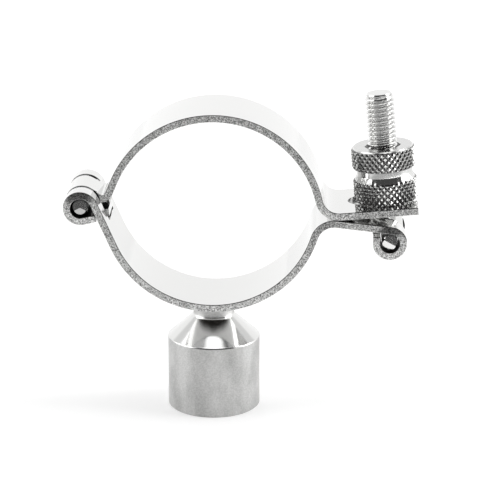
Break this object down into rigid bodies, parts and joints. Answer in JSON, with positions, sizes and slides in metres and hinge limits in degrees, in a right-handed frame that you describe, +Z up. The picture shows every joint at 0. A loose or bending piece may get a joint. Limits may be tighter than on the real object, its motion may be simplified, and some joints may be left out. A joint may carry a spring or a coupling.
{
  "type": "hinged pipe hanger",
  "caption": "Hinged two-half strip ring that closes round a tube with a swing bolt and knurled nut, on a turned boss with a tapped base.",
  "frame": {"origin": "centre of the boss's bottom face, at the mouth of its tapped hole", "axes": "+Z up along the boss towards the ring, +X from the hinge towards the swing bolt, +Y along the tube"},
  "size_m": [0.0956, 0.0254, 0.0895],
  "materials": {
    "polished_strip": "polished stainless strip with plain blanked edges",
    "drawn_pin": "drawn stainless pin, cut and chamfered",
    "threaded_stud": "bright rolled stainless thread",
    "turned_nut": "bright turned and diamond-knurled stainless",
    "turned_boss": "fine turned stainless, satin",
    "weld_metal": "rough weld metal"
  },
  "bodies": {
    "clamp_base": {"lower_band": "polished_strip", "hinge_pin": "drawn_pin", "bolt_pin": "drawn_pin", "threaded_boss": "turned_boss", "weld_bead": "weld_metal"},
    "upper_half": {"upper_band": "polished_strip"},
    "bolt": {"swing_bolt": "threaded_stud"},
    "nut": {"knurled_nut": "turned_nut"}
  },
  "joints": [
    {"name": "band_hinge", "type": "hinge", "parent": "clamp_base", "child": "upper_half", "pos_m": [-0.03535, 0, 0.05935], "axis": [0, -1, 0], "range_deg": [0, 48]},
    {"name": "bolt_swing", "type": "hinge", "parent": "clamp_base", "child": "bolt", "pos_m": [0.04785, 0, 0.05035], "axis": [0, 1, 0], "range_deg": [0, 50]},
    {"name": "nut_run", "type": "slide", "parent": "bolt", "child": "nut", "axis": [-0.0872, 0, 0.9962], "range_m": [0, 0.086]}
  ],
  "couplings": [
    {"joint": "bolt_swing", "follows": "band_hinge", "ratio": 1.0416},
    {"joint": "nut_run", "follows": "band_hinge", "m_per_rad": 0.10265}
  ]
}
